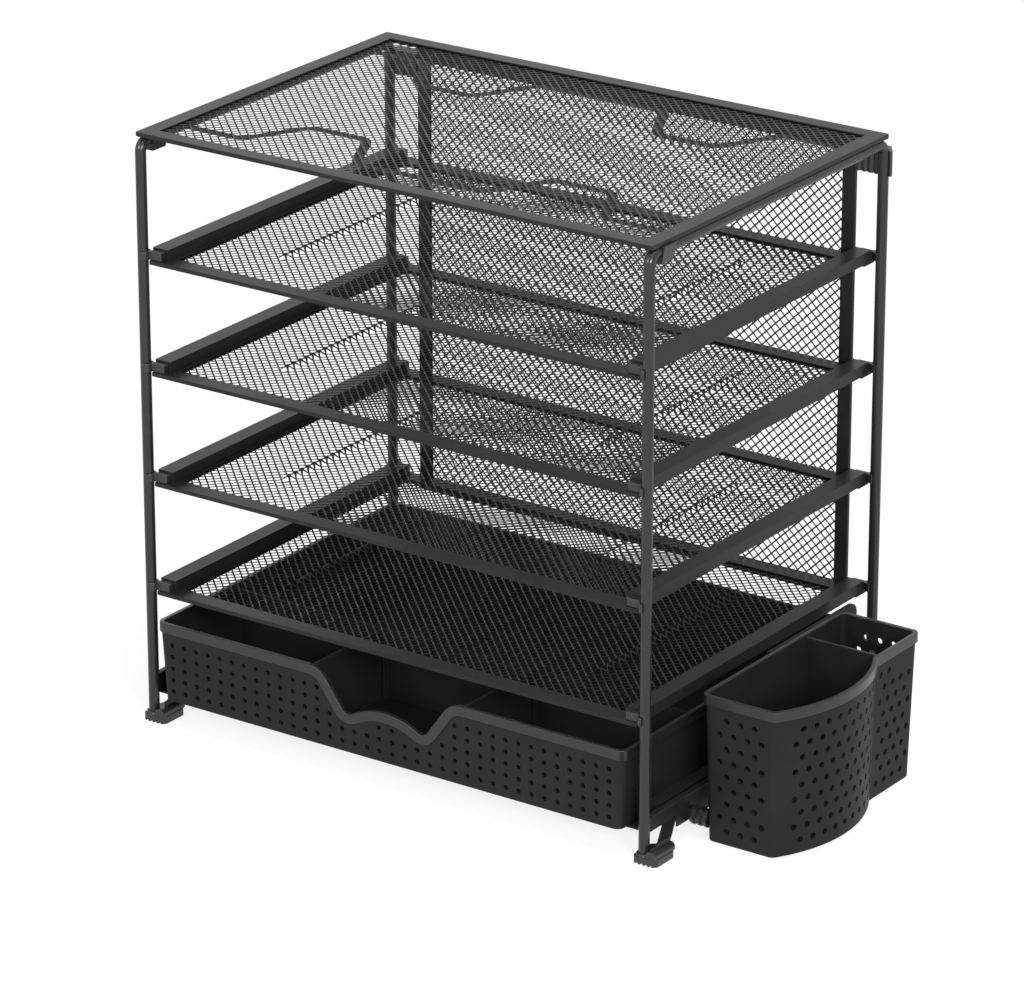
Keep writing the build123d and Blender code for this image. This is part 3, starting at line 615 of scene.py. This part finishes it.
def drill(piece, holes, radius, settings):
    """Cuts round holes, each given as its place on a wall and the way into the wall."""
    drills = []
    for place, inward in holes:
        turn = Vector((0, 0, 1)).rotation_difference(Vector(inward))
        bpy.ops.object.select_all(action="DESELECT")
        bpy.ops.mesh.primitive_cylinder_add(
            vertices=settings.hole_sides, radius=radius, depth=settings.hole_length, location=place,
            rotation=turn.to_euler())
        drills.append(bpy.context.object)
    bpy.ops.object.select_all(action="DESELECT")
    for tool in drills:
        tool.select_set(True)
    bpy.context.view_layer.objects.active = drills[0]
    bpy.ops.object.join()
    tool = bpy.context.object
    settle(tool)
    edit(tool)
    bpy.ops.mesh.select_all(action="SELECT")
    bpy.ops.mesh.normals_make_consistent(inside=False)
    leave_edit()
    cut = piece.modifiers.new("holes", "BOOLEAN")
    cut.operation = "DIFFERENCE"
    cut.solver = "EXACT"
    cut.object = tool
    apply(piece, cut)
    bpy.data.objects.remove(tool, do_unlink=True)
    even(piece)


def polish(piece, chosen):
    """Gives the chosen faces the smooth finish of a moulded rim."""
    piece.data.materials.append(finish("smooth rim plastic"))
    for face in piece.data.polygons:
        if chosen(face.center):
            face.material_index = 1


def wave_edge(x):
    """Height of the drawer front over its bottom, at a place from its middle."""
    away = abs(x)
    shoulder, valley = 0.0427, 0.0252
    full, deep, hump = 0.0456, 0.0211, 0.0292
    if away >= shoulder:
        return full
    if away >= valley:
        return deep + (full - deep) * (away - valley) / (shoulder - valley)
    return hump - (hump - deep) * (away / valley) ** 2


class ORGANIZER_OT_drawer(bpy.types.Operator):
    """Moulds the drawer with its rows of holes, and its dividers"""
    bl_idname = "organizer.drawer"
    bl_label = "Drawer"

    def execute(self, context):
        settings = context.scene.organizer_plastic
        piece = solid_copy("drawer_box", "drawer_shell")
        soften(piece, settings.edge)
        edit(piece, "FACE")
        bpy.ops.mesh.select_all(action="SELECT")
        bpy.ops.mesh.quads_convert_to_tris(quad_method="BEAUTY", ngon_method="BEAUTY")
        leave_edit()
        low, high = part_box("drawer_box")
        band, proud, draft = 0.0056, 0.0007, 0.0008
        corner, base, flush, top = 0.0055, 0.002, 0.00045, 0.0004
        holes = []
        for row in range(settings.drawer_rows):
            height = settings.drawer_row + row * settings.drawer_row_pitch
            for column in range(settings.drawer_columns):
                across = settings.drawer_side - column * settings.drawer_pitch
                over = min(wave_edge(across - band / 2), wave_edge(across + band / 2))
                if height + 2 * settings.drawer_hole > over - band:
                    continue
                wall = low.y + proud + draft * (1 - height / (high.z - low.z))
                for side in (-1, 1):
                    holes.append(((middle.x + side * across, wall, low.z + height), (0, 1, 0)))
        drill(piece, holes, settings.drawer_hole, settings)
        fit(piece, "drawer", "drawer_plastic", finish("moulded drawer plastic"), "drawer_box")
        half = (high.x - low.x) / 2 - corner
        polish(piece, lambda at: at.z > low.z + base and (
            at.y < low.y + flush or at.z > high.z - top
            or at.z > high.z - band and abs(at.x - middle.x) > half))
        for node in ("drawer_cross_divider", "drawer_left_divider", "drawer_right_divider"):
            piece = solid_copy(node, f"{node}_moulded")
            soften(piece, settings.edge)
            fit(piece, "drawer", "drawer_plastic", finish("moulded drawer plastic"), node)
        return {"FINISHED"}


class ORGANIZER_OT_pen_holder(bpy.types.Operator):
    """Moulds the pen holder with its staggered holes"""
    bl_idname = "organizer.pen_holder"
    bl_label = "Pen holder"

    def execute(self, context):
        settings = context.scene.organizer_plastic
        piece = solid_copy("pen_holder", "pen_holder_shell")
        soften(piece, settings.edge)
        low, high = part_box("pen_holder")
        inner, outer = middle.x + 0.17253, middle.x + 0.22053
        front, rear = middle.y - 0.075, middle.y + 0.061
        notch = middle.y + 0.01792
        bulge, radius = Vector((middle.x + 0.14603, middle.y - 0.02504, 0)), 0.086
        pitch, outer_pitch = settings.holder_pitch, 0.00815
        front_start, bulge_start, outer_start, rear_start = 0.0103, 0.0136, 0.0098, 0.0120
        bulge_turn, bulge_columns = math.radians(-35.5), 10
        taper, rear_rise = 0.002, 0.0017
        band, overlap = 0.0056, 0.001
        holes = []
        for row in range(settings.holder_rows):
            height = high.z - settings.holder_row - row * settings.holder_row_pitch
            shift = pitch / 2 * (1 - row % 2)
            inset = taper * (high.z - height) / (high.z - low.z)
            for column in range(3 + row % 2):
                across = inner + front_start + shift + column * pitch
                holes.append(((across, front + inset, height), (0, 1, 0)))
            for column in range(bulge_columns):
                angle = bulge_turn + (bulge_start + shift + column * pitch) / radius
                reach = Vector((math.cos(angle), math.sin(angle), 0))
                holes.append((bulge + reach * (radius - inset) + Vector((0, 0, height)), -reach))
            for column in range(4 if row else 2):
                along = notch + outer_start - shift + column * outer_pitch
                holes.append(((outer - inset, along, height), (-1, 0, 0)))
            for column in range(3 + row % 2 if row < 2 else 0):
                across = inner + rear_start + shift + column * pitch
                holes.append(((across, rear - inset, height + rear_rise), (0, -1, 0)))
        drill(piece, holes, settings.holder_hole, settings)
        fit(piece, "pen_holder", "holder_plastic", finish("moulded holder plastic"), "pen_holder")
        polish(piece, lambda at: at.z > high.z - band and at.x > inner - overlap)
        return {"FINISHED"}


def lamp(name, place, target, size, power):
    """A soft light of a width and a height that looks at a point."""
    data = bpy.data.lights.new(name, "AREA")
    data.shape = "RECTANGLE"
    data.size, data.size_y = size
    data.energy = power
    made = bpy.data.objects.new(name, data)
    made.location = place
    made.rotation_euler = (target - place).to_track_quat("-Z", "Y").to_euler()
    bpy.context.scene.collection.objects.link(made)


def seen_rays(tree):
    """A value of 1 for rays that show the background: from the camera, mirrored or let through."""
    path = add_node(tree, "ShaderNodeLightPath")
    seen = path.outputs["Is Camera Ray"]
    for kind in ("Is Glossy Ray", "Is Transmission Ray"):
        either = add_node(tree, "ShaderNodeMath", operation="MAXIMUM")
        tree.links.new(seen, either.inputs[0])
        tree.links.new(path.outputs[kind], either.inputs[1])
        seen = either.outputs[0]
    return seen


def white_sky(strength):
    """Even light from all round, which shows as plain white."""
    world = bpy.data.worlds.new("white sky")
    bpy.context.scene.world = world
    world.use_nodes = True
    tree = world.node_tree
    tree.nodes.clear()
    light = add_node(tree, "ShaderNodeBackground", {"Color": WHITE, "Strength": strength})
    shown = add_node(tree, "ShaderNodeBackground", {"Color": WHITE, "Strength": 1.0})
    mix = add_node(tree, "ShaderNodeMixShader")
    out = add_node(tree, "ShaderNodeOutputWorld")
    tree.links.new(seen_rays(tree), mix.inputs["Fac"])
    tree.links.new(light.outputs[0], mix.inputs[1])
    tree.links.new(shown.outputs[0], mix.inputs[2])
    tree.links.new(mix.outputs[0], out.inputs["Surface"])


def floor_finish(settings):
    """A white floor that shows its shadows lightly."""
    material = bpy.data.materials.new("white floor")
    material.use_nodes = True
    tree = material.node_tree
    tree.nodes.clear()
    plain = add_node(tree, "ShaderNodeBsdfDiffuse", {"Color": (*3 * [settings.floor_plain], 1)})
    shade = add_node(tree, "ShaderNodeBsdfDiffuse", {"Color": (*3 * [settings.floor_shade], 1)})
    glow = add_node(tree, "ShaderNodeEmission", {"Color": WHITE, "Strength": settings.floor_glow})
    both = add_node(tree, "ShaderNodeAddShader")
    mix = add_node(tree, "ShaderNodeMixShader")
    out = add_node(tree, "ShaderNodeOutputMaterial")
    tree.links.new(shade.outputs[0], both.inputs[0])
    tree.links.new(glow.outputs[0], both.inputs[1])
    tree.links.new(seen_rays(tree), mix.inputs["Fac"])
    tree.links.new(plain.outputs[0], mix.inputs[1])
    tree.links.new(both.outputs[0], mix.inputs[2])
    tree.links.new(mix.outputs[0], out.inputs["Surface"])
    return material


class ORGANIZER_OT_stage(bpy.types.Operator):
    """Sets the floor, the light and the camera"""
    bl_idname = "organizer.stage"
    bl_label = "Stage"

    def execute(self, context):
        settings = context.scene.organizer_stage
        bpy.ops.object.select_all(action="DESELECT")
        bpy.ops.mesh.primitive_plane_add(
            size=settings.floor, location=(middle.x, middle.y, cad_box[0][2]))
        floor = bpy.context.object
        floor.name = "floor"
        settle(floor)
        floor.data.materials.append(floor_finish(settings))
        white_sky(settings.sky)
        target = Vector((middle.x, middle.y, settings.height))
        for name, place, size in LAMPS:
            lamp(name, target + Vector(place), target, size, getattr(settings, name))
        turn, lift = settings.azimuth, settings.elevation
        back = Vector((math.sin(turn) * math.cos(lift), -math.cos(turn) * math.cos(lift), math.sin(lift)))
        up = Vector((-math.sin(turn) * math.sin(lift), math.cos(turn) * math.sin(lift), math.cos(lift)))
        data = bpy.data.cameras.new("camera")
        data.lens = settings.lens
        data.sensor_width = settings.sensor
        data.clip_end = settings.reach
        camera = bpy.data.objects.new("camera", data)
        camera.location = target - settings.drop * up + settings.distance * back
        camera.rotation_euler = back.to_track_quat("Z", "Y").to_euler()
        context.scene.collection.objects.link(camera)
        context.scene.camera = camera
        context.scene.view_settings.view_transform = "Standard"
        return {"FINISHED"}


class ORGANIZER_PT_panel(bpy.types.Panel):
    """Buttons for the organizer's pieces and its stage"""
    bl_idname = "ORGANIZER_PT_panel"
    bl_label = "Desk file organizer"
    bl_space_type = "VIEW_3D"
    bl_region_type = "UI"
    bl_category = "Organizer"

    def draw(self, context):
        for maker in OPERATORS:
            self.layout.operator(maker.bl_idname)


SETTINGS = {
    "organizer_wire": WireSettings,
    "organizer_net": NetSettings,
    "organizer_plastic": PlasticSettings,
    "organizer_finish": FinishSettings,
    "organizer_stage": StageSettings,
}
OPERATORS = (
    ORGANIZER_OT_wire_frames,
    ORGANIZER_OT_sheet_rims,
    ORGANIZER_OT_nets,
    ORGANIZER_OT_fittings,
    ORGANIZER_OT_drawer,
    ORGANIZER_OT_pen_holder,
    ORGANIZER_OT_stage,
)


def register():
    for made in (*SETTINGS.values(), *OPERATORS, ORGANIZER_PT_panel):
        bpy.utils.register_class(made)
    for name, made in SETTINGS.items():
        setattr(bpy.types.Scene, name, PointerProperty(type=made))


def unregister():
    for name in SETTINGS:
        delattr(bpy.types.Scene, name)
    for made in reversed((*SETTINGS.values(), *OPERATORS, ORGANIZER_PT_panel)):
        bpy.utils.unregister_class(made)


def main():
    register()
    bpy.ops.organizer.wire_frames()
    bpy.ops.organizer.sheet_rims()
    bpy.ops.organizer.nets()
    bpy.ops.organizer.fittings()
    bpy.ops.organizer.drawer()
    bpy.ops.organizer.pen_holder()
    bpy.ops.organizer.stage()


if __name__ == "__main__":
    main()
